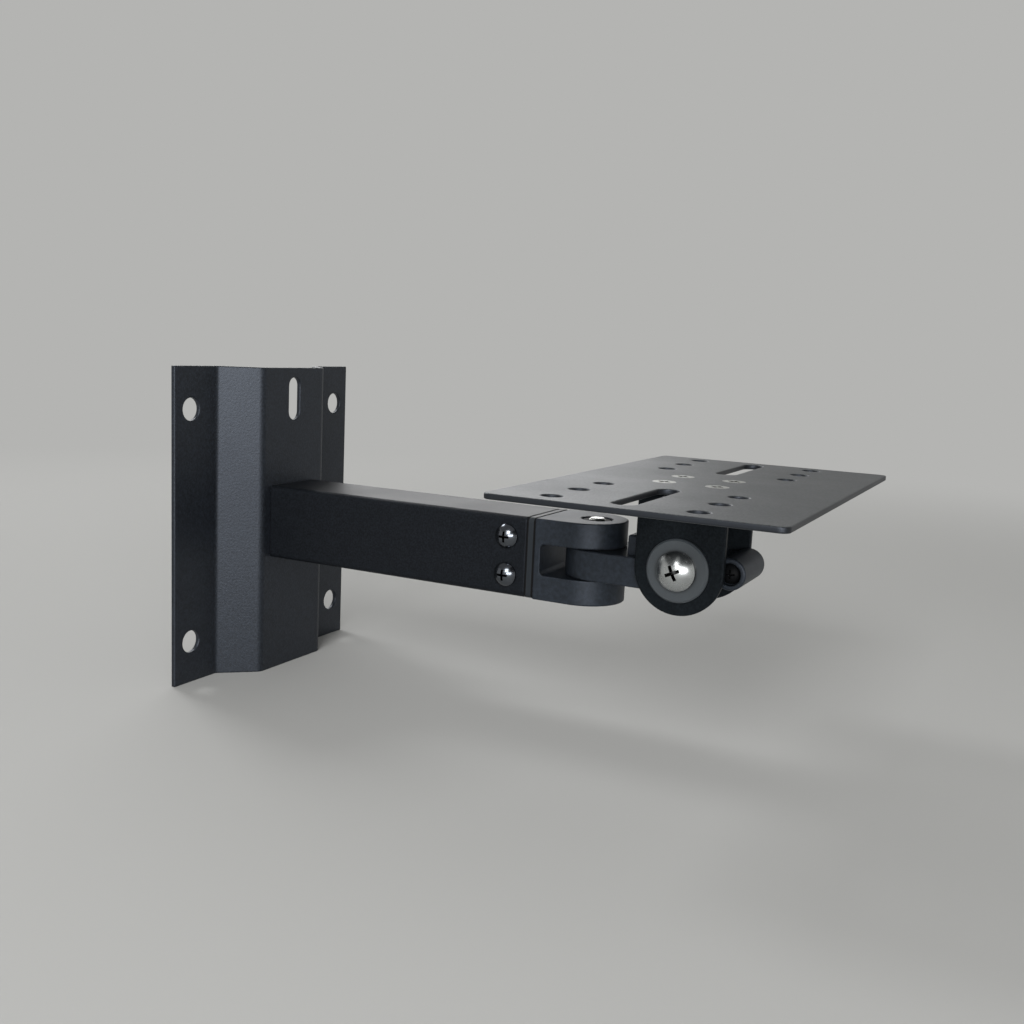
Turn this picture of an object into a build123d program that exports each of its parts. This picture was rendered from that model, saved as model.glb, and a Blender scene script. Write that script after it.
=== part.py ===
"""Speaker wall bracket: wall plate, square arm, pan fork, tilt yoke and speaker plate.

Millimetres. The origin is the middle of the wall plate's back, +X points away from
the wall along the arm and +Z is up.
"""

import os
from math import radians, sqrt, tan

from build123d import *

# Wall plate, one steel sheet folded to a hat section
wall_sheet = 2.5
wall_width = 147
wall_height = 168
hat_depth = 20.6  # wall to the front of the raised middle
hat_foot = 84  # between the two outer bends
hat_face = 51.5  # between the two inner bends
bend_radius = 2.5
wall_hole = 12
wall_hole_side = 12  # side edge to a hole's middle
wall_hole_end = 22.25  # top or bottom edge to a hole's middle
wall_slot_width = 9.5
wall_slot_length = 23.5
wall_slot_drop = 17  # top edge to the slot's middle

# Arm, a square tube welded to the wall plate, with a flanged liner in its end
arm_size = 40
arm_wall = 2
arm_corner = 2.5
liner_wall = 1.5
collar = 4.7

# Pan joint: fork on the arm, tongue between its ears, vertical bolt
pan_reach = 206  # wall to the pan axis
pan_bolt_size = 8
pan_bolt_head = 5.3
pan_nut_height = 6.5
pan_nut_flats = 13
pan_washer_size = 15.4
pan_washer_sheet = 1.6
bolt_proud = 0.6  # bolt end above the fork
counterbore = 16
counterbore_depth = 8.5
fork_gap = 15.5
fork_root = 3
root_round = 2.3
ear_reach = 15  # pan axis to the ears' round ends
tenon_length = 34
friction_sheet = 0.6
friction_size = 27

# Screws that hold the fork's tenon in the arm
fork_screw_size = 6
fork_screw_head = 11.8
fork_head_height = 4.2
fork_recess = 5.6
fork_screw_length = 14
fork_screw_spacing = 19
fork_screw_setback = 10.5  # arm end to the screws

# Swivel tongue, a casting that carries both axes
tongue_width = 39
tongue_tail = 14  # pan axis to the round tail's end
axis_distance = 50  # pan axis to tilt axis
tilt_rise = 4.7  # tilt axis above the arm's middle
barrel_size = 24
web_width = 28
web_gap = 2
tip_reach = 22
tip_size = 14.8
tip_width = 34
tip_arm_height = 11
tip_screw_size = 5
tip_screw_head = 9.5
tip_head_height = 3.6
tip_recess = 4.5
tip_nut_flats = 8
tip_nut_height = 4
tip_counterbore = 10.5
tip_counterbore_depth = 4.2

# Tilt joint: yoke over the tongue, horizontal screw
disc_sheet = 0.5
yoke_sheet = 3
yoke_depth = 42
yoke_bend = 1.4
tilt_screw_size = 10
tilt_screw_head = 18.2
tilt_head_height = 6.4
tilt_recess = 7.4
tilt_recess_turn = 25
tilt_washer_size = 29.4
tilt_washer_sheet = 2.4
tilt_washer_bevel = 0.8
tilt_nut_flats = 16
tilt_nut_height = 8.4

# Speaker plate, a flat sheet screwed to the yoke
table_sheet = 2.5
table_length = 123.5
table_width = 220
table_setback = 56  # inner edge to the tilt axis
table_rise = 36  # underside above the tilt axis
table_corner = 4
table_hole = 9
table_hole_side = 13.1  # side edge to the outer row of holes
table_rows = 3  # on each side
table_row_spacing = 27.25
table_column_spacing = 61
table_slot_width = 10.2
table_slot_length = 61.5
table_screw_size = 6
table_screw_head = 11
table_recess = 6.6
table_recess_turn = -18
table_screw_spacing = 25  # along the arm; across it the nuts stand against the yoke's bends
table_nut_flats = 10
table_nut_height = 5

# Edges, clearances and the common forms of screws
edge_break = 0.35  # cut edges and holes of the sheets
edge_round = 0.6  # rims of the tube, its collar, the fork and the tongue
cast_round = 1
slide_fit = 0.1  # clearance on each side of a sliding or screwed fit
running_fit = 0.05  # radial clearance of a shaft, and axial play of a clamped joint
swing_gap = 1.2  # tongue to the bottom of the fork's slot
thread_end = 1.5  # thread showing past a nut
point_chamfer = 0.7  # screw tips
hex_slope = 30
sink_angle = 90
dome_start = 0.25  # straight rim of a domed head, as a share of its height
recess_wing = 0.22  # width of a cross recess's wings, as a share of its size
recess_depth = 0.45  # depth of a cross recess, as a share of its size
recess_taper = 6

# Places that follow from the sizes above
wall_hole_spacing_y = wall_width - 2 * wall_hole_side
wall_hole_spacing_z = wall_height - 2 * wall_hole_end
half_arm = arm_size / 2
half_gap = fork_gap / 2
tail_swing = max(tongue_tail, tongue_width / 2)
slot_bottom = pan_reach - tail_swing - swing_gap
fork_start = slot_bottom - fork_root
arm_end = fork_start - collar
fork_screw_x = arm_end - fork_screw_setback
liner_size = arm_size - 2 * arm_wall - 2 * slide_fit
tenon_size = liner_size - 2 * liner_wall - 2 * slide_fit
tongue_height = fork_gap - 2 * (friction_sheet + running_fit)
tilt_x = pan_reach + axis_distance
tip_x = tilt_x + tip_reach
web_x = pan_reach + max(ear_reach, half_arm) + web_gap
yoke_inside = tongue_width / 2 + disc_sheet + running_fit
yoke_outside = yoke_inside + yoke_sheet
table_under = tilt_rise + table_rise
table_top = table_under + table_sheet
table_middle = tilt_x - table_setback + table_length / 2
outer_row = table_width / 2 - table_hole_side
row_offsets = [outer_row - row * table_row_spacing for row in range(table_rows)]
table_screw_spacing_y = 2 * (yoke_inside - yoke_bend - table_nut_flats / 2 - slide_fit)


def facing(x, y, z, direction):
    """A plane at a point, looking the given way, with its own X along the arm."""
    return Plane(origin=(x, y, z), x_dir=(1, 0, 0), z_dir=direction)


def upright(x, z):
    """A plane across the bracket's middle, seen from the front (-Y) side."""
    return facing(x, 0, z, (0, -1, 0))


def side_on(plane):
    """The plane that holds another plane's axis, with that axis as its own Y."""
    return Plane(plane.origin, x_dir=plane.x_dir, z_dir=-plane.y_dir)


def hole_rims(faces):
    """The edges of all the holes in some flat faces."""
    return [edge for face in faces for wire in face.inner_wires() for edge in wire.edges()]


def gathered(pieces):
    """Like pieces as one group of separate solids."""
    with BuildPart() as group:
        add(pieces)
    return group.part


def washer(plane, size, hole, sheet, bevel=0):
    """A flat ring that stands on the plane, its outer rim bevelled on the far side."""
    with BuildPart() as ring:
        with BuildSketch(plane):
            Circle(size / 2)
            Circle(hole / 2, mode=Mode.SUBTRACT)
        extrude(amount=sheet)
        if bevel:
            far_side = ring.faces().sort_by(Axis(plane.origin, plane.z_dir))[-1]
            chamfer(far_side.outer_wire().edges(), bevel)
    return ring.part


def hexagon(plane, flats, height):
    """A hexagon that stands on the plane, with its corners turned off at both ends."""
    flat_end = flats / 2 - slide_fit
    past_corners = flats / sqrt(3) + slide_fit
    slope = (past_corners - flat_end) * tan(radians(hex_slope))
    with BuildPart() as block:
        with BuildSketch(side_on(plane)):
            with BuildLine():
                Polyline(
                    (0, 0),
                    (flat_end, 0),
                    (past_corners, slope),
                    (past_corners, height - slope),
                    (flat_end, height),
                    (0, height),
                    close=True,
                )
            make_face()
        revolve(axis=Axis(plane.origin, plane.z_dir))
        with BuildSketch(plane):
            RegularPolygon(flats / 2, 6, major_radius=False)
        extrude(amount=height, mode=Mode.INTERSECT)
    return block.part


def hex_nut(plane, flats, hole, height):
    """A hexagon nut that stands on the plane."""
    with BuildPart() as nut:
        add(hexagon(plane, flats, height))
        with BuildSketch(plane):
            Circle(hole / 2)
        extrude(amount=height, mode=Mode.SUBTRACT)
    return nut.part


def cross_recess(plane, size, turn=0):
    """Cut a tapered cross for a screwdriver into the part being built."""
    with BuildSketch(plane) as cross:
        for angle in (turn, turn + 90):
            Rectangle(size, size * recess_wing, rotation=angle)
    extrude(cross.sketch, amount=-size * recess_depth, taper=recess_taper, mode=Mode.SUBTRACT)


def shank(plane, size, length):
    """Add a screw's shank, with a chamfered tip, below the plane to the part being built."""
    with BuildSketch(plane) as section:
        Circle(size / 2)
    extrude(section.sketch, amount=-length)
    tip = faces().sort_by(Axis(plane.origin, plane.z_dir))[0]
    chamfer(tip.edges(), point_chamfer)


def pan_screw(plane, size, head, height, length, recess, turn=0):
    """A domed cross-head screw whose head stands on the plane."""
    rim = height * dome_start
    with BuildPart() as screw:
        with BuildSketch(side_on(plane)):
            with BuildLine():
                TangentArc((0, height), (head / 2, rim), tangent=(1, 0))
                Polyline((head / 2, rim), (head / 2, 0), (0, 0), (0, height))
            make_face()
        revolve(axis=Axis(plane.origin, plane.z_dir))
        shank(plane, size, length)
        cross_recess(plane.offset(height), recess, turn)
    return screw.part


def sunk_screw(plane, size, head, length, recess, turn):
    """A countersunk cross-head screw whose flat head lies in the plane."""
    with BuildPart() as screw:
        with BuildSketch(plane):
            Circle(head / 2)
        sink_depth = (head - size) / 2 / tan(radians(sink_angle / 2))
        extrude(amount=-sink_depth, taper=sink_angle / 2)
        shank(plane, size, length)
        cross_recess(plane, recess, turn)
    return screw.part


# Wall plate: hat section, two bolt holes in each flange, a slot above the arm
with BuildPart() as wall_plate:
    flange_middle = wall_sheet / 2
    face_middle = hat_depth - wall_sheet / 2
    with BuildSketch(Plane.XY.offset(-wall_height / 2)):
        with BuildLine():
            FilletPolyline(
                (flange_middle, -wall_width / 2),
                (flange_middle, -hat_foot / 2),
                (face_middle, -hat_face / 2),
                (face_middle, hat_face / 2),
                (flange_middle, hat_foot / 2),
                (flange_middle, wall_width / 2),
                radius=bend_radius + wall_sheet / 2,
            )
        trace(line_width=wall_sheet)
    extrude(amount=wall_height)
    bend_lines = wall_plate.edges().filter_by(Axis.Z).sort_by(Axis.Y)[2:-2]
    chamfer(wall_plate.edges() - bend_lines, edge_break)
    with BuildSketch(Plane.YZ):
        with GridLocations(wall_hole_spacing_y, wall_hole_spacing_z, 2, 2):
            Circle(wall_hole / 2)
        with Locations((0, wall_height / 2 - wall_slot_drop)):
            SlotOverall(wall_slot_length, wall_slot_width, rotation=90)
    extrude(amount=hat_depth, mode=Mode.SUBTRACT)
    chamfer(hole_rims(wall_plate.faces().filter_by(Axis.X)), edge_break)

# Arm tube, butted against the raised middle of the wall plate
with BuildPart() as arm_tube:
    with BuildSketch(Plane.YZ.offset(hat_depth)):
        RectangleRounded(arm_size, arm_size, arm_corner)
        bore = arm_size - 2 * arm_wall
        RectangleRounded(bore, bore, max(arm_corner - arm_wall, edge_round), mode=Mode.SUBTRACT)
    extrude(amount=arm_end - hat_depth)
    rim = arm_tube.faces().sort_by(Axis.X)[-1].outer_wire().edges()
    fillet(rim, min(edge_round, arm_wall / 2))
    with BuildSketch(Plane.XZ):
        with Locations((fork_screw_x, 0)):
            with GridLocations(0, fork_screw_spacing, 1, 2):
                Circle(fork_screw_size / 2 + slide_fit)
    extrude(amount=half_arm, both=True, mode=Mode.SUBTRACT)

# Liner: a sleeve inside the tube, with the collar that shows between tube and fork
with BuildPart() as tube_liner:
    with BuildSketch(Plane.YZ.offset(arm_end)):
        RectangleRounded(arm_size, arm_size, arm_corner)
    extrude(amount=collar)
    rims = tube_liner.edges().group_by(Axis.X)
    fillet(rims[0] + rims[-1], edge_round)
    with BuildSketch(Plane.YZ.offset(arm_end)):
        RectangleRounded(liner_size, liner_size, edge_round)
    extrude(amount=-tenon_length + collar)
    with BuildSketch(Plane.YZ.offset(fork_start)):
        Rectangle(liner_size - 2 * liner_wall, liner_size - 2 * liner_wall)
    extrude(amount=-tenon_length, mode=Mode.SUBTRACT)
    with BuildSketch(Plane.XZ):
        with Locations((fork_screw_x, 0)):
            with GridLocations(0, fork_screw_spacing, 1, 2):
                Circle(fork_screw_size / 2 + slide_fit)
    extrude(amount=half_arm, both=True, mode=Mode.SUBTRACT)

# Fork: two round-ended ears over a tenon, the pan bolt sunk in a counterbore at each end
with BuildPart() as pivot_fork:
    fork_end = pan_reach + ear_reach
    ear_middle = fork_end - half_arm
    with BuildSketch(Plane.XY.offset(-half_arm)):
        with BuildLine():
            CenterArc((ear_middle, 0), half_arm, start_angle=-90, arc_size=180)
            Polyline(
                (ear_middle, half_arm),
                (fork_start, half_arm),
                (fork_start, -half_arm),
                (ear_middle, -half_arm),
            )
        make_face()
    extrude(amount=arm_size)
    outline = pivot_fork.edges().group_by(Axis.Z)
    fillet(outline[0] + outline[-1], edge_round)
    with BuildSketch(Plane.XZ):
        with Locations((slot_bottom, 0)):
            Rectangle(fork_end - slot_bottom, fork_gap, align=(Align.MIN, Align.CENTER))
        fillet(vertices().sort_by(Axis.X)[:2], root_round)
    extrude(amount=half_arm, both=True, mode=Mode.SUBTRACT)
    with BuildSketch(Plane.YZ.offset(fork_start)):
        RectangleRounded(tenon_size, tenon_size, edge_round)
    extrude(amount=-tenon_length)
    upper_ear = facing(pan_reach, 0, half_arm, (0, 0, 1))
    lower_ear = facing(pan_reach, 0, -half_arm, (0, 0, -1))
    with Locations(upper_ear, lower_ear):
        CounterBoreHole(
            pan_bolt_size / 2 + running_fit,
            counterbore / 2,
            counterbore_depth,
            depth=half_arm,
        )
    tenon_depth = half_arm - tenon_size / 2
    for side in (-1, 1):
        with BuildSketch(facing(fork_screw_x, side * tenon_size / 2, 0, (0, side, 0))):
            with GridLocations(0, fork_screw_spacing, 1, 2):
                Circle(fork_screw_size / 2 + running_fit)
        extrude(amount=tenon_depth - fork_screw_length - thread_end, mode=Mode.SUBTRACT)


# Screws through the tube and the liner into the tenon, two on each side
def fork_screw_pair(side):
    """The two screws on one side of the arm, -1 for the front and 1 for the back."""
    heights = (-fork_screw_spacing / 2, fork_screw_spacing / 2)
    return gathered(
        [
            pan_screw(
                facing(fork_screw_x, side * half_arm, height, (0, side, 0)),
                fork_screw_size,
                fork_screw_head,
                fork_head_height,
                fork_screw_length,
                fork_recess,
            )
            for height in heights
        ]
    )


fork_screws_front = fork_screw_pair(-1)
fork_screws_back = fork_screw_pair(1)

# Pan bolt: hexagon head in the lower counterbore, nut in the upper one, a washer under each
upper_floor = upper_ear.offset(-counterbore_depth)
lower_floor = lower_ear.offset(-counterbore_depth)
washer_hole = pan_bolt_size + 4 * slide_fit
pan_washer_upper = washer(upper_floor, pan_washer_size, washer_hole, pan_washer_sheet)
pan_washer_lower = washer(lower_floor, pan_washer_size, washer_hole, pan_washer_sheet)
nut_seat = upper_floor.offset(pan_washer_sheet)
pan_nut = hex_nut(nut_seat, pan_nut_flats, pan_bolt_size + 2 * running_fit, pan_nut_height)
with BuildPart() as pan_bolt:
    head_seat = lower_floor.offset(pan_washer_sheet)
    add(hexagon(head_seat, pan_nut_flats, pan_bolt_head))
    shank(head_seat, pan_bolt_size, half_arm + bolt_proud - head_seat.origin.Z)

# Nylon friction washers between the ears and the tongue
pan_friction_upper = washer(
    facing(pan_reach, 0, half_gap - friction_sheet, (0, 0, 1)), friction_size, washer_hole, friction_sheet
)
pan_friction_lower = washer(
    facing(pan_reach, 0, friction_sheet - half_gap, (0, 0, -1)), friction_size, washer_hole, friction_sheet
)

# Swivel tongue: flat bar with a round tail, tilt barrel on a raised web, cross-drilled tip
with BuildPart() as swivel_tongue:
    tail_middle = pan_reach - tongue_tail + tongue_width / 2
    with BuildSketch(Plane.XY.offset(-tongue_height / 2)):
        with BuildLine():
            CenterArc((tail_middle, 0), tongue_width / 2, start_angle=90, arc_size=180)
            Polyline(
                (tail_middle, -tongue_width / 2),
                (tilt_x, -tongue_width / 2),
                (tilt_x, tongue_width / 2),
                (tail_middle, tongue_width / 2),
            )
        make_face()
    extrude(amount=tongue_height)
    outline = swivel_tongue.edges().group_by(Axis.Z)
    fillet(outline[0] + outline[-1], edge_round)
    with BuildSketch(upright(web_x, 0)):
        Rectangle(tilt_x - web_x, tilt_rise + barrel_size / 2, align=Align.MIN)
    extrude(amount=web_width / 2, both=True)
    web_top = swivel_tongue.faces().sort_by(Axis.Z)[-1]
    fillet(web_top.edges().filter_by(Axis.X) + web_top.edges().sort_by(Axis.X)[:1], cast_round)
    with BuildSketch(upright(tilt_x, tilt_rise)):
        Circle(barrel_size / 2)
    extrude(amount=tongue_width / 2, both=True)
    with BuildSketch(upright(tilt_x, tilt_rise)):
        Rectangle(tip_reach, tip_arm_height, align=(Align.MIN, Align.CENTER))
    extrude(amount=web_width / 2, both=True)
    with BuildSketch(upright(tip_x, tilt_rise)):
        Circle(tip_size / 2)
    extrude(amount=tip_width / 2, both=True)
    tip_rims = swivel_tongue.edges().filter_by(GeomType.CIRCLE).group_by(Axis.X)[-1]
    fillet(tip_rims.filter_by(lambda rim: abs(rim.center().Y) > web_width / 2), cast_round)
    with Locations(facing(pan_reach, 0, half_gap, (0, 0, 1))):
        Hole(pan_bolt_size / 2 + running_fit)
    with BuildSketch(upright(tilt_x, tilt_rise)):
        Circle(tilt_screw_size / 2 + running_fit)
    extrude(amount=tongue_width / 2, both=True, mode=Mode.SUBTRACT)
    tip_ends = [facing(tip_x, side * tip_width / 2, tilt_rise, (0, side, 0)) for side in (-1, 1)]
    with Locations(*tip_ends):
        CounterBoreHole(
            tip_screw_size / 2 + slide_fit,
            tip_counterbore / 2,
            tip_counterbore_depth,
            depth=tip_width / 2,
        )

# Cross screw in the tongue's tip, with its nut at the far end
tip_head_seat, tip_nut_seat = (end.offset(-tip_counterbore_depth) for end in tip_ends)
tip_grip = tip_width - 2 * tip_counterbore_depth + tip_nut_height
tip_screw = pan_screw(
    tip_head_seat, tip_screw_size, tip_screw_head, tip_head_height, tip_grip, tip_recess
)
tip_nut = hex_nut(tip_nut_seat, tip_nut_flats, tip_screw_size + 2 * slide_fit, tip_nut_height)

# Nylon discs between the tilt barrel and the yoke's ears
disc_hole = tilt_screw_size + 4 * slide_fit
front_barrel_end = facing(tilt_x, -tongue_width / 2, tilt_rise, (0, -1, 0))
back_barrel_end = facing(tilt_x, tongue_width / 2, tilt_rise, (0, 1, 0))
tilt_disc_front = washer(front_barrel_end, barrel_size, disc_hole, disc_sheet)
tilt_disc_back = washer(back_barrel_end, barrel_size, disc_hole, disc_sheet)

# Yoke: one sheet folded to a U, its ears rounded about the tilt axis
with BuildPart() as tilt_yoke:
    ear_radius = yoke_depth / 2
    side_middle = yoke_inside + yoke_sheet / 2
    roof_middle = table_under - yoke_sheet / 2
    with BuildSketch(Plane.YZ.offset(tilt_x - ear_radius)):
        with BuildLine():
            FilletPolyline(
                (-side_middle, tilt_rise - ear_radius),
                (-side_middle, roof_middle),
                (side_middle, roof_middle),
                (side_middle, tilt_rise - ear_radius),
                radius=yoke_bend + yoke_sheet / 2,
            )
        trace(line_width=yoke_sheet)
    extrude(amount=yoke_depth)
    with BuildSketch(upright(tilt_x, tilt_rise)):
        Circle(ear_radius)
        Rectangle(yoke_depth, table_rise, align=(Align.CENTER, Align.MIN))
    extrude(amount=yoke_outside, both=True, mode=Mode.INTERSECT)
    bend_lines = tilt_yoke.edges().filter_by(Axis.X)
    round_starts = tilt_yoke.edges().filter_by_position(
        Axis.Z, tilt_rise - edge_break, tilt_rise + edge_break
    )
    chamfer(tilt_yoke.edges() - bend_lines - round_starts, edge_break)
    with BuildSketch(upright(tilt_x, tilt_rise)):
        Circle(tilt_screw_size / 2 + slide_fit)
    extrude(amount=yoke_outside, both=True, mode=Mode.SUBTRACT)
    with Locations(facing(tilt_x, 0, table_under, (0, 0, 1))):
        with GridLocations(table_screw_spacing, table_screw_spacing_y, 2, 2):
            Hole(table_screw_size / 2 + slide_fit, depth=yoke_sheet)

# Tilt screw across the yoke, with a wide washer on each ear and the nut at the back
front_ear = facing(tilt_x, -yoke_outside, tilt_rise, (0, -1, 0))
back_ear = facing(tilt_x, yoke_outside, tilt_rise, (0, 1, 0))
tilt_hole = tilt_screw_size + 2 * slide_fit
tilt_washer_front, tilt_washer_back = (
    washer(ear, tilt_washer_size, tilt_hole, tilt_washer_sheet, tilt_washer_bevel)
    for ear in (front_ear, back_ear)
)
tilt_grip = 2 * (yoke_outside + tilt_washer_sheet)
tilt_screw = pan_screw(
    front_ear.offset(tilt_washer_sheet),
    tilt_screw_size,
    tilt_screw_head,
    tilt_head_height,
    tilt_grip + tilt_nut_height + thread_end,
    tilt_recess,
    tilt_recess_turn,
)
tilt_nut = hex_nut(back_ear.offset(tilt_washer_sheet), tilt_nut_flats, tilt_hole, tilt_nut_height)

# Speaker plate: rows of holes beside two slots, four sunk screws over the yoke
with BuildPart() as speaker_plate:
    with BuildSketch(Plane.XY.offset(table_under)):
        with Locations((table_middle, 0)):
            RectangleRounded(table_length, table_width, table_corner)
        with Locations((tilt_x, 0)):
            for offset_y in row_offsets:
                with GridLocations(table_column_spacing, 2 * offset_y, 2, 2):
                    Circle(table_hole / 2, mode=Mode.SUBTRACT)
            with GridLocations(0, row_offsets[0] + row_offsets[-1], 1, 2):
                SlotOverall(table_slot_length, table_slot_width, rotation=90, mode=Mode.SUBTRACT)
    extrude(amount=table_sheet)
    flat_sides = speaker_plate.faces().filter_by(Axis.Z)
    chamfer([edge for face in flat_sides for edge in face.edges()], edge_break)
    with Locations(facing(tilt_x, 0, table_top, (0, 0, 1))):
        with GridLocations(table_screw_spacing, table_screw_spacing_y, 2, 2):
            CounterSinkHole(
                table_screw_size / 2 + slide_fit,
                table_screw_head / 2 + slide_fit,
                depth=table_sheet,
                counter_sink_angle=sink_angle,
            )

# Sunk screws through the plate and the yoke's roof, with nuts under the roof
screw_spots = GridLocations(table_screw_spacing, table_screw_spacing_y, 2, 2).local_locations
screw_length = table_sheet + yoke_sheet + table_nut_height + thread_end
plate_screws = gathered(
    [
        sunk_screw(
            facing(tilt_x + spot.position.X, spot.position.Y, table_top, (0, 0, 1)),
            table_screw_size,
            table_screw_head,
            screw_length,
            table_recess,
            table_recess_turn,
        )
        for spot in screw_spots
    ]
)
plate_nuts = gathered(
    [
        hex_nut(
            facing(tilt_x + spot.position.X, spot.position.Y, table_under - yoke_sheet, (0, 0, -1)),
            table_nut_flats,
            table_screw_size + 2 * slide_fit,
            table_nut_height,
        )
        for spot in screw_spots
    ]
)

nodes = {
    "wall_plate": wall_plate.part,
    "arm_tube": arm_tube.part,
    "tube_liner": tube_liner.part,
    "pivot_fork": pivot_fork.part,
    "fork_screws_front": fork_screws_front,
    "fork_screws_back": fork_screws_back,
    "pan_bolt": pan_bolt.part,
    "pan_nut": pan_nut,
    "pan_washer_upper": pan_washer_upper,
    "pan_washer_lower": pan_washer_lower,
    "pan_friction_upper": pan_friction_upper,
    "pan_friction_lower": pan_friction_lower,
    "swivel_tongue": swivel_tongue.part,
    "tip_screw": tip_screw,
    "tip_nut": tip_nut,
    "tilt_disc_front": tilt_disc_front,
    "tilt_disc_back": tilt_disc_back,
    "tilt_yoke": tilt_yoke.part,
    "tilt_screw": tilt_screw,
    "tilt_washer_front": tilt_washer_front,
    "tilt_washer_back": tilt_washer_back,
    "tilt_nut": tilt_nut,
    "speaker_plate": speaker_plate.part,
    "plate_screws": plate_screws,
    "plate_nuts": plate_nuts,
}
os.makedirs("parts", exist_ok=True)
for name, piece in nodes.items():
    piece.label = name
    export_step(piece, f"parts/{name}.step")
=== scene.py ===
"""Looks of a speaker wall bracket: charcoal coated steel, plated screws, a pale studio."""

from math import pi, radians

import bmesh
import bpy
from mathutils import Matrix, Vector


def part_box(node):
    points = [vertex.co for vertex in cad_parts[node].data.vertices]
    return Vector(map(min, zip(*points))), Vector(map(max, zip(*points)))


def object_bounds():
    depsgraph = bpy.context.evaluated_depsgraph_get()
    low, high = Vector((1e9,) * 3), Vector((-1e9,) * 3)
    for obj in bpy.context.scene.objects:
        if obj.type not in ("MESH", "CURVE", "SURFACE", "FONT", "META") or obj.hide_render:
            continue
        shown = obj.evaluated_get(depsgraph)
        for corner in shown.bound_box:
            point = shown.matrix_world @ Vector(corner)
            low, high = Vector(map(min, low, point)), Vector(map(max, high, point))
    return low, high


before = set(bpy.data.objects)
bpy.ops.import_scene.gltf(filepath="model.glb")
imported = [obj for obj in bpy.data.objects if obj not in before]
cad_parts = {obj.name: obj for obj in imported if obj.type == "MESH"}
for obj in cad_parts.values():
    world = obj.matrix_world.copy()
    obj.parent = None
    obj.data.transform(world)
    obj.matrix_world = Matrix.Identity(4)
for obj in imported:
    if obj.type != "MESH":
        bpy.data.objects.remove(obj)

cad_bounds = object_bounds()

# Wall plate: a 2.5 mm steel sheet, punched with its bolt holes and folded to a hat section.
# It is powder coated after folding, and bolts to the wall through its two flanges.
mm = 0.001


def linear(colour):
    """An sRGB hex colour as linear RGBA."""
    parts = [int(colour[start : start + 2], 16) / 255 for start in (1, 3, 5)]
    lights = [part / 12.92 if part <= 0.04045 else ((part + 0.055) / 1.055) ** 2.4 for part in parts]
    return lights + [1]


def set_inputs(node, inputs):
    """Give each of a node's inputs a value or another node's output."""
    for name, value in inputs.items():
        if isinstance(value, bpy.types.NodeSocket):
            node.id_data.links.new(value, node.inputs[name])
        else:
            node.inputs[name].default_value = value


def add_node(tree, kind, inputs, **settings):
    """Add a shader node with its inputs and settings."""
    added = tree.nodes.new("ShaderNode" + kind)
    for name, value in settings.items():
        setattr(added, name, value)
    set_inputs(added, inputs)
    return added


def start_material(name):
    """A new material whose patterns lie on Object coordinates."""
    material = bpy.data.materials.new(name)
    material.use_nodes = True
    add_node(material.node_tree, "TexCoord", {})
    return material


def open_material(material):
    """A material's node tree, its surface shader and its Object coordinates."""
    tree = material.node_tree
    place = tree.nodes["Texture Coordinate"].outputs["Object"]
    return tree, tree.nodes["Principled BSDF"], place


def per_mm(size):
    """The texture scale at which a pattern's features are this many millimetres apart."""
    return 1 / (size * mm)


def wander(tree, place, patch, detail, value, play):
    """A value that wanders up and down by its play, over patches of a size in mm."""
    noise_low, noise_high = 0.3, 0.7
    noise = add_node(tree, "TexNoise", {"Vector": place, "Scale": per_mm(patch), "Detail": detail})
    return add_node(
        tree,
        "MapRange",
        {
            "Value": noise.outputs["Fac"],
            "From Min": noise_low,
            "From Max": noise_high,
            "To Min": value - play,
            "To Max": value + play,
        },
    ).outputs["Result"]


def powder_coat(name, grain_size, grain_depth, dark, bright, roughness, gloss):
    """A baked powder coat with its grains' size and depth in mm and the two colours they mix.

    The film is never quite even, so its sheen wanders over some centimetres. It also rounds
    sharp edges, which then catch a thin line of light. A cool tint in the sheen gives the
    blue cast that charcoal coats have head-on and lose at a low angle.
    """
    film_patch = 45
    film_play = 0.03
    edge_round = 1
    speck_low, speck_high = 0.36, 0.68
    cool_sheen = "#dde7f8"
    material = start_material(name)
    tree, surface, place = open_material(material)
    grain = add_node(
        tree, "TexNoise", {"Vector": place, "Scale": per_mm(grain_size), "Detail": 2, "Roughness": 0.65}
    )
    speck = add_node(
        tree, "MapRange", {"Value": grain.outputs["Fac"], "From Min": speck_low, "From Max": speck_high}
    )
    tint = add_node(
        tree,
        "Mix",
        {"Factor": speck.outputs["Result"], "A": linear(dark), "B": linear(bright)},
        data_type="RGBA",
    )
    rounded = add_node(tree, "Bevel", {"Radius": edge_round * mm}, samples=6)
    pebble = add_node(
        tree,
        "Bump",
        {
            "Strength": 1,
            "Distance": grain_depth * mm,
            "Height": grain.outputs["Fac"],
            "Normal": rounded.outputs["Normal"],
        },
    )
    set_inputs(
        surface,
        {
            "Base Color": tint.outputs["Result"],
            "Roughness": wander(tree, place, film_patch, 3, roughness, film_play),
            "Normal": pebble.outputs["Normal"],
            "Specular IOR Level": gloss,
            "Specular Tint": linear(cool_sheen),
        },
    )
    return material


def cover(material, *names):
    """Give solids of the frame their finish."""
    for name in names:
        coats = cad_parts[name].data.materials
        coats.clear()
        coats.append(material)


# Textured polyester powder coat: the melted grains leave a fine pebbled skin, so flat faces
# look velvety and sparkle a little. Here and on the other coats with grains near 1 mm, they
# are drawn a little coarse, to show.
textured_coat = powder_coat(
    "textured_powder_coat",
    grain_size=1,
    grain_depth=0.09,
    dark="#08090b",
    bright="#1b1f25",
    roughness=0.45,
    gloss=0.6,
)
cover(textured_coat, "wall_plate")

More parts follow.
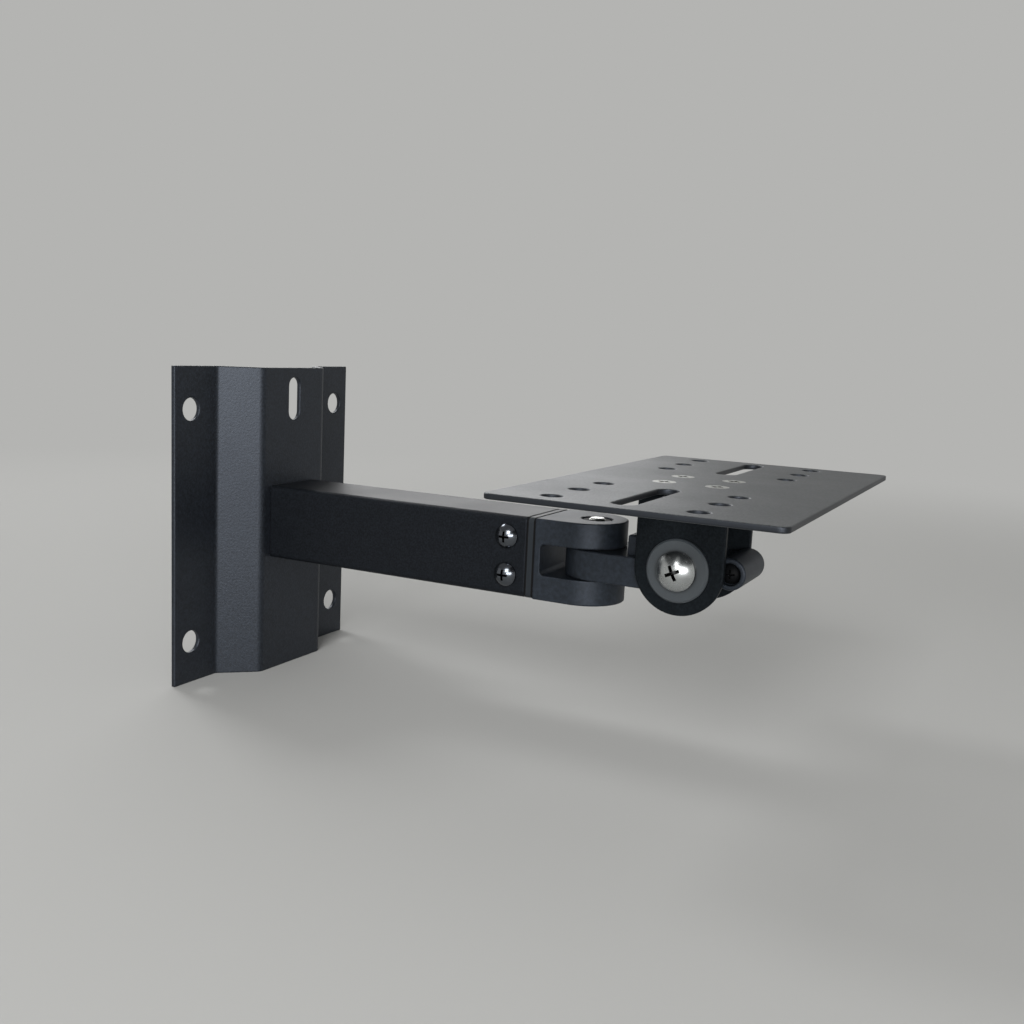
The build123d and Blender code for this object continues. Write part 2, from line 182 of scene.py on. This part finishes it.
# Arm tube: 40 mm square steel tube with 2 mm walls, set end-on on the wall plate.
# Its coat is finer and shallower than the plate's, with less gloss, so its sides stay darker.
tube_coat = powder_coat(
    "fine_black_powder_coat",
    grain_size=0.9,
    grain_depth=0.02,
    dark="#08090b",
    bright="#15181c",
    roughness=0.44,
    gloss=0.2,
)
cover(tube_coat, "arm_tube")


# Tube liner: a moulded plastic sleeve, pushed into the tube's end to take up the play between
# tube and fork. Only its collar shows, as a narrow strip between the two.
def seam_shade(tree, unshaded, shaded):
    """A colour with painted shade and dust: it darkens where a recess, a joint or a corner is hidden
    from the sky.
    """
    seam_reach = 3
    closed_sky, open_sky = 0.4, 0.9
    sky = add_node(tree, "AmbientOcclusion", {"Distance": seam_reach * mm}, samples=8)
    bare = add_node(
        tree, "MapRange", {"Value": sky.outputs["AO"], "From Min": closed_sky, "From Max": open_sky}
    )
    return add_node(
        tree,
        "Mix",
        {"Factor": bare.outputs["Result"], "A": linear(shaded), "B": linear(unshaded)},
        data_type="RGBA",
    ).outputs["Result"]


def within(tree, place, axis, middle, reach):
    """1 where the surface lies within reach of the middle along an axis, and 0 elsewhere."""
    along = add_node(tree, "SeparateXYZ", {"Vector": place}).outputs[axis]
    return add_node(tree, "Math", {0: along, 1: middle, 2: reach}, operation="COMPARE").outputs["Value"]


collar_width = 4.7 * mm
shaded_rim = 1 * mm
collar_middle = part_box("tube_liner")[1].x - collar_width / 2
collar_plastic = start_material("moulded_black_polypropylene")
# Polypropylene from an eroded mould: an even, slightly soapy grey-black, with painted shade where it
# meets tube and fork. Its two rounded rims are painted dark and matt, as painted shade for the gaps
# beside tube and fork.
mould_grain = 0.6
mould_depth = 0.03
rim_shade_colour = "#020203"
rim_roughness, face_roughness = 0.95, 0.46
tree, surface, place = open_material(collar_plastic)
plastic = seam_shade(tree, unshaded="#1c2126", shaded="#050607")
collar_face = within(tree, place, "X", collar_middle, collar_width / 2 - shaded_rim)
shade = add_node(
    tree, "Mix", {"Factor": collar_face, "A": linear(rim_shade_colour), "B": plastic}, data_type="RGBA"
)
matt = add_node(
    tree, "MapRange", {"Value": collar_face, "To Min": rim_roughness, "To Max": face_roughness}
)
mould = add_node(tree, "TexNoise", {"Vector": place, "Scale": per_mm(mould_grain), "Detail": 1})
skin = add_node(
    tree, "Bump", {"Strength": 0.2, "Distance": mould_depth * mm, "Height": mould.outputs["Fac"]}
)
set_inputs(
    surface,
    {
        "Base Color": shade.outputs["Result"],
        "Roughness": matt.outputs["Result"],
        "Normal": skin.outputs["Normal"],
        "Specular IOR Level": 0.3,
    },
)
cover(collar_plastic, "tube_liner")

# Pivot fork: a machined casting whose tenon sits in the liner and whose ears hold the pan bolt.
# It is coated smooth. The powder flows out with an orange peel some 2 mm wide, so its round
# ends show long soft highlights.
satin_coat = powder_coat(
    "satin_powder_coat",
    grain_size=2.2,
    grain_depth=0.012,
    dark="#13171b",
    bright="#1f242b",
    roughness=0.48,
    gloss=0.45,
)
cover(satin_coat, "pivot_fork")


# Fork screws: two M6 pan-head screws on each side, through the arm into the fork's tenon.
# They are turned and rolled from steel wire and plated black.
def plated_steel(name, unshaded, shaded, roughness):
    """A plated fastener: a bright skin with dull handling marks, and painted shade in its recesses."""
    mark_size = 5
    mark_play = 0.04
    material = start_material(name)
    tree, surface, place = open_material(material)
    set_inputs(
        surface,
        {
            "Base Color": seam_shade(tree, unshaded, shaded),
            "Roughness": wander(tree, place, mark_size, 4, roughness, mark_play),
            "Metallic": 1,
        },
    )
    return material


# Black passivated zinc over polished steel: a dark mirror, with clear highlights on the domes and
# painted shade in the cross recesses.
black_zinc = plated_steel("black_zinc_plate", unshaded="#666a70", shaded="#17181b", roughness=0.19)
cover(black_zinc, "fork_screws_front", "fork_screws_back")

# Swivel tongue: one casting that turns in the fork and carries the tilt barrel and a small tip.
# It is coated like the fork.
cover(satin_coat, "swivel_tongue")

# Friction washers and tilt discs: thin rings punched from black nylon sheet.
# They lie between the coated faces that turn on each other.
nylon = start_material("black_nylon_sheet")
# Rolled nylon: a dull black that only shows as a dark line in the joints.
roll_mark = 1.5
nylon_roughness = 0.56
nylon_play = 0.024
tree, surface, place = open_material(nylon)
set_inputs(
    surface,
    {
        "Base Color": linear("#141516"),
        "Roughness": wander(tree, place, roll_mark, 2, nylon_roughness, nylon_play),
    },
)
cover(nylon, "pan_friction_upper", "pan_friction_lower", "tilt_disc_front", "tilt_disc_back")

# Pan washers, pan nut, tip screw and tip nut: the first sit in the fork's counterbores and
# clamp the joint, the screw sits in the tongue's tip. All are formed from steel and blackened.
oiled_black = start_material("oiled_black_steel")
# Blackened steel under a film of oil: a dull dark ring round the bright bolt, a dull dark head.
oil_patch = 3
oil_roughness = 0.57
oil_play = 0.036
tree, surface, place = open_material(oiled_black)
set_inputs(
    surface,
    {
        "Base Color": linear("#0d0e10"),
        "Roughness": wander(tree, place, oil_patch, 3, oil_roughness, oil_play),
        "Specular IOR Level": 0.08,
    },
)
cover(oiled_black, "pan_washer_upper", "pan_washer_lower", "pan_nut", "tip_screw", "tip_nut")

# Pan bolt: an M8 hexagon bolt that ties the fork's ears, put in from below.
# Its plated end stands a little above the fork.
wave_length = 2 * pi / 20  # of a wave texture whose scale is 1


def rolled_thread(material, axis, pitch, start, end):
    """Cut a thread into a screw's finish: its pitch in mm, and where along an axis it fades in."""
    thread_depth = pitch / 4
    tree, surface, place = open_material(material)
    along = add_node(tree, "SeparateXYZ", {"Vector": place}).outputs[axis]
    threaded = add_node(tree, "MapRange", {"Value": along, "From Min": start, "From Max": end})
    turns = add_node(
        tree,
        "TexWave",
        {"Vector": place, "Scale": wave_length * per_mm(pitch)},
        wave_type="BANDS",
        bands_direction=axis,
        wave_profile="TRI",
    )
    ridges = add_node(
        tree,
        "Bump",
        {
            "Strength": threaded.outputs["Result"],
            "Distance": thread_depth * mm,
            "Height": turns.outputs["Fac"],
        },
    )
    set_inputs(surface, {"Normal": ridges.outputs["Normal"]})


# Clear passivated zinc: a pale grey metal that is brighter than anything coated, with painted shade in
# its recesses.
zinc_unshaded, zinc_shaded = "#d2d3d0", "#26251f"
bolt_zinc = plated_steel("bright_zinc_bolt", zinc_unshaded, zinc_shaded, roughness=0.24)
bolt_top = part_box("pan_bolt")[1].z
rolled_thread(bolt_zinc, "Z", pitch=1.25, start=0, end=bolt_top / 4)
cover(bolt_zinc, "pan_bolt")

# Tilt yoke: a 3 mm sheet folded to a bridge, whose two ears straddle the tongue's barrel.
# It is coated darker than the castings, with only a little gloss.
yoke_coat = powder_coat(
    "matt_black_powder_coat",
    grain_size=0.9,
    grain_depth=0.015,
    dark="#0e1113",
    bright="#181c1f",
    roughness=0.42,
    gloss=0.08,
)
cover(yoke_coat, "tilt_yoke")

# Tilt washers: a thick turned washer with a bevelled rim on each of the yoke's ears.
# They spread the screw's pressure and are painted to go with the yoke.
tilt_axis = sum(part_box("tilt_screw"), Vector()) / 2
washer_paint = start_material("satin_grey_paint")
# Satin stoving paint over a turned face, a shade lighter than the yoke; the bevel catches the
# lamp. The lathe's grooves are drawn 0.7 mm apart, coarser than real ones, to show.
groove_pitch = 0.7
groove_depth = 0.012
tree, surface, place = open_material(washer_paint)
centred = add_node(tree, "Mapping", {"Vector": place, "Location": -tilt_axis})
grooves = add_node(
    tree,
    "TexWave",
    {"Vector": centred.outputs["Vector"], "Scale": wave_length * per_mm(groove_pitch)},
    wave_type="RINGS",
    rings_direction="Y",
)
turned = add_node(
    tree, "Bump", {"Strength": 1, "Distance": groove_depth * mm, "Height": grooves.outputs["Fac"]}
)
# Painted shade darkens the washer where the screw's head and the yoke's ear hide it.
set_inputs(
    surface,
    {
        "Base Color": seam_shade(tree, unshaded="#3b4044", shaded="#0c0d0f"),
        "Roughness": 0.32,
        "Normal": turned.outputs["Normal"],
    },
)
cover(washer_paint, "tilt_washer_front", "tilt_washer_back")

# Tilt screw and its nut: one M10 pan-head screw across the yoke, tightened to hold the tilt.
# The screw is nickel plated, and the brightest piece on the front; the nut is zinc plated.
nickel = plated_steel("bright_nickel_plate", unshaded="#c2c5c5", shaded="#0d0d0d", roughness=0.27)
# Bright nickel on a turned dome: a soft mirror that shows floor and lamp, with painted shade making its
# recess black.
screw_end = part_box("tilt_screw")[1].y
rolled_thread(nickel, "Y", pitch=1.5, start=0, end=screw_end / 4)
cover(nickel, "tilt_screw")
nut_zinc = plated_steel("bright_zinc_nut", zinc_unshaded, zinc_shaded, roughness=0.26)
cover(nut_zinc, "tilt_nut")

# Speaker plate: a 2.5 mm steel sheet with rows of holes and two slots for the loudspeaker.
# Its coat is greyer than the rest: even and matt from above, pale and silky at a low angle.
plate_coat = powder_coat(
    "fine_grey_powder_coat",
    grain_size=1.1,
    grain_depth=0.06,
    dark="#222424",
    bright="#434545",
    roughness=0.45,
    gloss=0.6,
)
# The sheared edges and the walls of punched holes are painted darker than the faces, as painted shade.
painted_edge_shade = "#090a0b"
edge_lip = 0.2 * mm
plate_low, plate_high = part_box("speaker_plate")
plate_middle = (plate_low.z + plate_high.z) / 2
tree, surface, place = open_material(plate_coat)
cut = within(tree, place, "Z", plate_middle, plate_high.z - plate_middle - edge_lip)
coat_colour = surface.inputs["Base Color"].links[0].from_socket
edge_shaded = add_node(
    tree, "Mix", {"Factor": cut, "A": coat_colour, "B": linear(painted_edge_shade)}, data_type="RGBA"
)
set_inputs(surface, {"Base Color": edge_shaded.outputs["Result"]})
cover(plate_coat, "speaker_plate")

# Plate screws and nuts: four sunk M6 screws that pull the plate onto the yoke's roof.
# They are zinc plated and a little duller than the bolt, so they stay bright at a low angle.
# Painted shade darkens their cross recesses.
screw_zinc = plated_steel("satin_zinc_screw", unshaded="#a9aaa6", shaded="#0c0c0b", roughness=0.34)
sunk_low, sunk_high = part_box("plate_screws")
sunk_middle = (sunk_low.z + sunk_high.z) / 2
rolled_thread(screw_zinc, "Z", pitch=1, start=sunk_middle, end=sunk_low.z)
cover(screw_zinc, "plate_screws")
cover(nut_zinc, "plate_nuts")

# Studio floor: a round sweep of pale paper, flat under the bracket and curved up at its rim,
# so that no edge shows from any side. The bracket stands on its wall plate's lower edge.
sweep_radius = 2.8
sweep_height = 1.6
sweep_curve = 1.2
rim_facets = 96
curve_facets = 24
middle = sum(cad_bounds, Vector()) / 2
ground = Vector((middle.x, middle.y, cad_bounds[0].z))
shape = bmesh.new()
bmesh.ops.create_circle(
    shape, cap_ends=True, segments=rim_facets, radius=sweep_radius, matrix=Matrix.Translation(ground)
)
rim = shape.edges[:]
wall = bmesh.ops.extrude_edge_only(shape, edges=rim)["geom"]
raised = [corner for corner in wall if isinstance(corner, bmesh.types.BMVert)]
bmesh.ops.translate(shape, verts=raised, vec=(0, 0, sweep_height))
bmesh.ops.bevel(
    shape, geom=rim, offset=sweep_curve, segments=curve_facets, profile=0.5, affect="EDGES", material=-1
)
for face in shape.faces:
    face.smooth = True
mesh = bpy.data.meshes.new("studio_floor")
shape.to_mesh(mesh)
shape.free()
floor = bpy.data.objects.new("studio_floor", mesh)
bpy.context.scene.collection.objects.link(floor)
paper = start_material("pale_background_paper")
# Matt paper: hardly any gloss, and only the bracket's own soft shadow on it. Away from the
# bracket it shows its plain colour to eye and mirror, so the backdrop stays even without more
# light.
paper_colour = linear("#b4b4b2")
lit_paper = 0.45
plain_paper = 1.4
tree, surface, place = open_material(paper)
set_inputs(surface, {"Base Color": paper_colour, "Roughness": 0.9})
reach = add_node(tree, "VectorMath", {0: place, 1: ground}, operation="DISTANCE")
far = add_node(
    tree,
    "MapRange",
    {"Value": reach.outputs["Value"], "From Min": lit_paper, "From Max": plain_paper},
    interpolation_type="SMOOTHSTEP",
)
ray = add_node(tree, "LightPath", {}).outputs
mirrored = add_node(
    tree, "Math", {0: ray["Is Glossy Ray"], 1: ray["Is Transmission Ray"]}, operation="MAXIMUM"
)
seen = add_node(
    tree, "Math", {0: ray["Is Camera Ray"], 1: mirrored.outputs["Value"]}, operation="MAXIMUM"
)
plain = add_node(
    tree, "Math", {0: seen.outputs["Value"], 1: far.outputs["Result"]}, operation="MULTIPLY"
)
glow = add_node(tree, "Emission", {"Color": paper_colour, "Strength": 1})
backdrop = add_node(
    tree,
    "MixShader",
    {0: plain.outputs["Value"], 1: surface.outputs["BSDF"], 2: glow.outputs["Emission"]},
)
set_inputs(tree.nodes["Material Output"], {"Surface": backdrop.outputs["Shader"]})
mesh.materials.append(paper)

# Studio light: an even pale surround and four softboxes that the camera doesn't see. The key
# draws the shadow, the side one lights webs and domes, the others screw heads and top faces.
surround_colour = linear("#f0f0ee")
surround_strength = 0.28
surround = bpy.data.worlds.new("studio_surround")
surround.use_nodes = True
set_inputs(
    surround.node_tree.nodes["Background"], {"Color": surround_colour, "Strength": surround_strength}
)
bpy.context.scene.world = surround


def softbox(name, position, width, height, power):
    """A lamp of this width and height in metres and power in watts, facing the bracket."""
    lamp = bpy.data.lights.new(name, "AREA")
    lamp.shape = "RECTANGLE"
    lamp.size = width
    lamp.size_y = height
    lamp.energy = power
    holder = bpy.data.objects.new(name, lamp)
    holder.location = position
    holder.rotation_euler = (middle - Vector(position)).to_track_quat("-Z", "Y").to_euler()
    holder.visible_camera = False
    bpy.context.scene.collection.objects.link(holder)


softbox("key_softbox", (0.54, -1.6, 0.95), width=0.8, height=0.8, power=24)
softbox("side_softbox", (1.3, -1.75, 0.25), width=1.4, height=0.5, power=30)
softbox("left_softbox", (-1.16, 0.42, 1.4), width=0.5, height=0.5, power=9)
softbox("back_softbox", (-1.45, 1.6, 0.85), width=2.4, height=1.0, power=19)

# Camera: at the photograph's place and angle, a little above the bracket and to its right.
# The small roll is the photograph's own.
lens_mm = 38.79
sensor_mm = 36
camera_place = (0.40837, -0.49463, 0.10213)
camera_azimuth, camera_drop, camera_roll = 26.742, 8.614, 2.636
level_tilt = 90  # from straight down to level
camera = bpy.data.cameras.new("camera")
camera.sensor_width = sensor_mm
camera.lens = lens_mm
viewer = bpy.data.objects.new("camera", camera)
viewer.matrix_world = (
    Matrix.Translation(camera_place)
    @ Matrix.Rotation(radians(camera_azimuth), 4, "Z")
    @ Matrix.Rotation(radians(level_tilt - camera_drop), 4, "X")
    @ Matrix.Rotation(radians(camera_roll), 4, "Z")
)
bpy.context.scene.collection.objects.link(viewer)
bpy.context.scene.camera = viewer
bpy.context.scene.view_settings.view_transform = "Standard"
